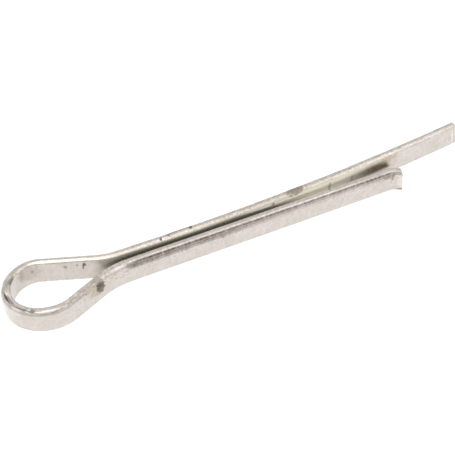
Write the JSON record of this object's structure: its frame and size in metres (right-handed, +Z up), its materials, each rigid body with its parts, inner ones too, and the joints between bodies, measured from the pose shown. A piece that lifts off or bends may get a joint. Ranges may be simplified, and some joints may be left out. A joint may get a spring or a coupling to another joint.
{
  "type": "cotter pin",
  "caption": "Extended-prong cotter pin bent from flattened half-round wire, with a round eye and one leg longer than the other; it locks a clevis pin or nut.",
  "frame": {"origin": "middle of the pin's bounding box, on the surface that the pin lies on", "axes": "+X along the shank from the eye to the tips, +Y towards the long leg, +Z up through the height of the wire"},
  "size_m": [0.0816, 0.012, 0.0043],
  "materials": {
    "zinc_plated_steel": "bright zinc-plated low-carbon steel, satin, lightly handled"
  },
  "bodies": {
    "root": {"cotter_pin": "zinc_plated_steel"}
  },
  "joints": []
}
